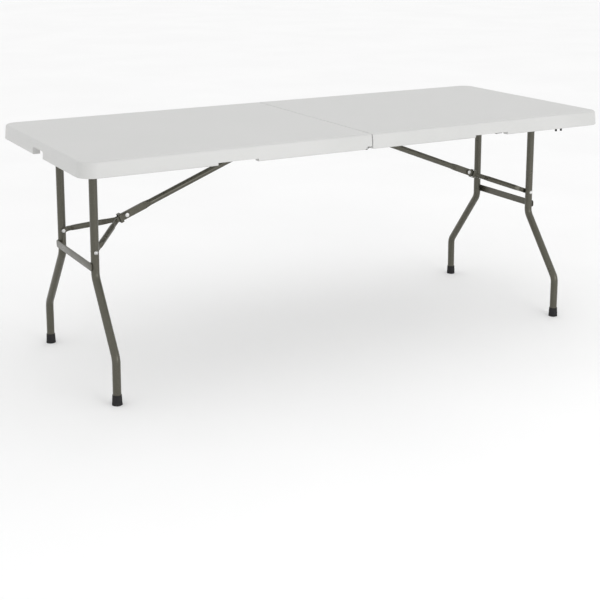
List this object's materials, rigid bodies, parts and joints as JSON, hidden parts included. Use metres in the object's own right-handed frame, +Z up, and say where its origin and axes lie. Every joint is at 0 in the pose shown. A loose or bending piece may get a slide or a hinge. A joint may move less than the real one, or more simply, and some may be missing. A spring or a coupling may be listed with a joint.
{
  "type": "folding picnic table",
  "caption": "White plastic table top hinged across the middle on folding steel leg sets with centre braces and a carrying handle.",
  "frame": {"origin": "on the floor under the centre of the table top", "axes": "X along the length with the handle on the +X half, -Y the near long side, Z up"},
  "size_m": [1.8594, 0.7614, 0.74],
  "materials": {
    "white_plastic": "moulded polyethylene with a fine pebble texture",
    "bronze_steel": "grey-bronze powder coat, satin",
    "zinc_steel": "bright zinc plate",
    "black_rubber": "matt black rubber",
    "black_plastic": "matt black plastic"
  },
  "bodies": {
    "left_half": {"left_top": "white_plastic", "left_rail_near": "bronze_steel", "left_rail_far": "bronze_steel", "left_rail_screws": "zinc_steel", "left_brace_rod": "bronze_steel", "left_rod_collars": "black_plastic", "left_hinge_near": "bronze_steel", "left_hinge_far": "bronze_steel", "hinge_pin_near": "zinc_steel", "hinge_pin_far": "zinc_steel"},
    "right_half": {"right_top": "white_plastic", "right_rail_near": "bronze_steel", "right_rail_far": "bronze_steel", "right_rail_screws": "zinc_steel", "right_brace_rod": "bronze_steel", "right_rod_collars": "black_plastic", "right_hinge_near": "bronze_steel", "right_hinge_far": "bronze_steel", "handle_pin": "bronze_steel", "handle_brackets": "bronze_steel", "closing_latch": "black_plastic"},
    "handle": {"handle": "black_plastic"},
    "left_leg_set": {"left_leg_tube": "bronze_steel", "left_end_caps": "black_plastic", "left_leg_near": "bronze_steel", "left_leg_far": "bronze_steel", "left_cross_bar": "bronze_steel", "left_foot_near": "black_rubber", "left_foot_far": "black_rubber", "left_leg_rivets": "zinc_steel"},
    "left_brace": {"left_upper_brace": "bronze_steel"},
    "left_v_arms": {"left_arm_near": "bronze_steel", "left_arm_far": "bronze_steel", "left_brace_rivet": "zinc_steel", "left_arm_rivets": "zinc_steel"},
    "left_ring": {"left_lock_ring": "bronze_steel"},
    "right_leg_set": {"right_leg_tube": "bronze_steel", "right_end_caps": "black_plastic", "right_leg_near": "bronze_steel", "right_leg_far": "bronze_steel", "right_cross_bar": "bronze_steel", "right_foot_near": "black_rubber", "right_foot_far": "black_rubber", "right_leg_rivets": "zinc_steel"},
    "right_brace": {"right_upper_brace": "bronze_steel"},
    "right_v_arms": {"right_arm_near": "bronze_steel", "right_arm_far": "bronze_steel", "right_brace_rivet": "zinc_steel", "right_arm_rivets": "zinc_steel"},
    "right_ring": {"right_lock_ring": "bronze_steel"}
  },
  "joints": [
    {"name": "centre_fold", "type": "hinge", "parent": "left_half", "child": "right_half", "pos_m": [0, 0, 0.6935], "axis": [0, 1, 0], "range_deg": [0, 95]},
    {"name": "left_leg_fold", "type": "hinge", "parent": "left_half", "child": "left_leg_set", "pos_m": [-0.815, 0, 0.71], "axis": [0, -1, 0], "range_deg": [0, 91]},
    {"name": "left_brace_swing", "type": "hinge", "parent": "left_half", "child": "left_brace", "pos_m": [-0.08, 0, 0.71], "axis": [0, 1, 0], "range_deg": [-0.5, 21.63]},
    {"name": "left_v_turn", "type": "hinge", "parent": "left_brace", "child": "left_v_arms", "pos_m": [-0.6594, 0, 0.4861], "axis": [0, -1, 0], "range_deg": [-1, 181]},
    {"name": "left_ring_slide", "type": "slide", "parent": "left_brace", "child": "left_ring", "axis": [0.9328, 0, 0.3605], "range_m": [-0.001, 0.181]},
    {"name": "right_leg_fold", "type": "hinge", "parent": "right_half", "child": "right_leg_set", "pos_m": [0.815, 0, 0.71], "axis": [0, 1, 0], "range_deg": [0, 91]},
    {"name": "right_brace_swing", "type": "hinge", "parent": "right_half", "child": "right_brace", "pos_m": [0.08, 0, 0.71], "axis": [0, -1, 0], "range_deg": [-0.5, 21.63]},
    {"name": "right_v_turn", "type": "hinge", "parent": "right_brace", "child": "right_v_arms", "pos_m": [0.6594, 0, 0.4861], "axis": [0, 1, 0], "range_deg": [-1, 181]},
    {"name": "right_ring_slide", "type": "slide", "parent": "right_brace", "child": "right_ring", "axis": [-0.9328, 0, 0.3605], "range_m": [-0.001, 0.181]},
    {"name": "handle_swing", "type": "hinge", "parent": "right_half", "child": "handle", "pos_m": [0.457, -0.352, 0.6979], "axis": [-1, 0, 0], "range_deg": [0, 180]}
  ],
  "couplings": [
    {"joint": "left_brace_swing", "follows": "left_leg_fold", "ratio": 0.23218},
    {"joint": "left_v_turn", "follows": "left_leg_fold", "ratio": 1.978},
    {"joint": "left_ring_slide", "follows": "left_leg_fold", "m_per_rad": 0.11333},
    {"joint": "right_brace_swing", "follows": "right_leg_fold", "ratio": 0.23218},
    {"joint": "right_v_turn", "follows": "right_leg_fold", "ratio": 1.978},
    {"joint": "right_ring_slide", "follows": "right_leg_fold", "m_per_rad": 0.11333}
  ]
}
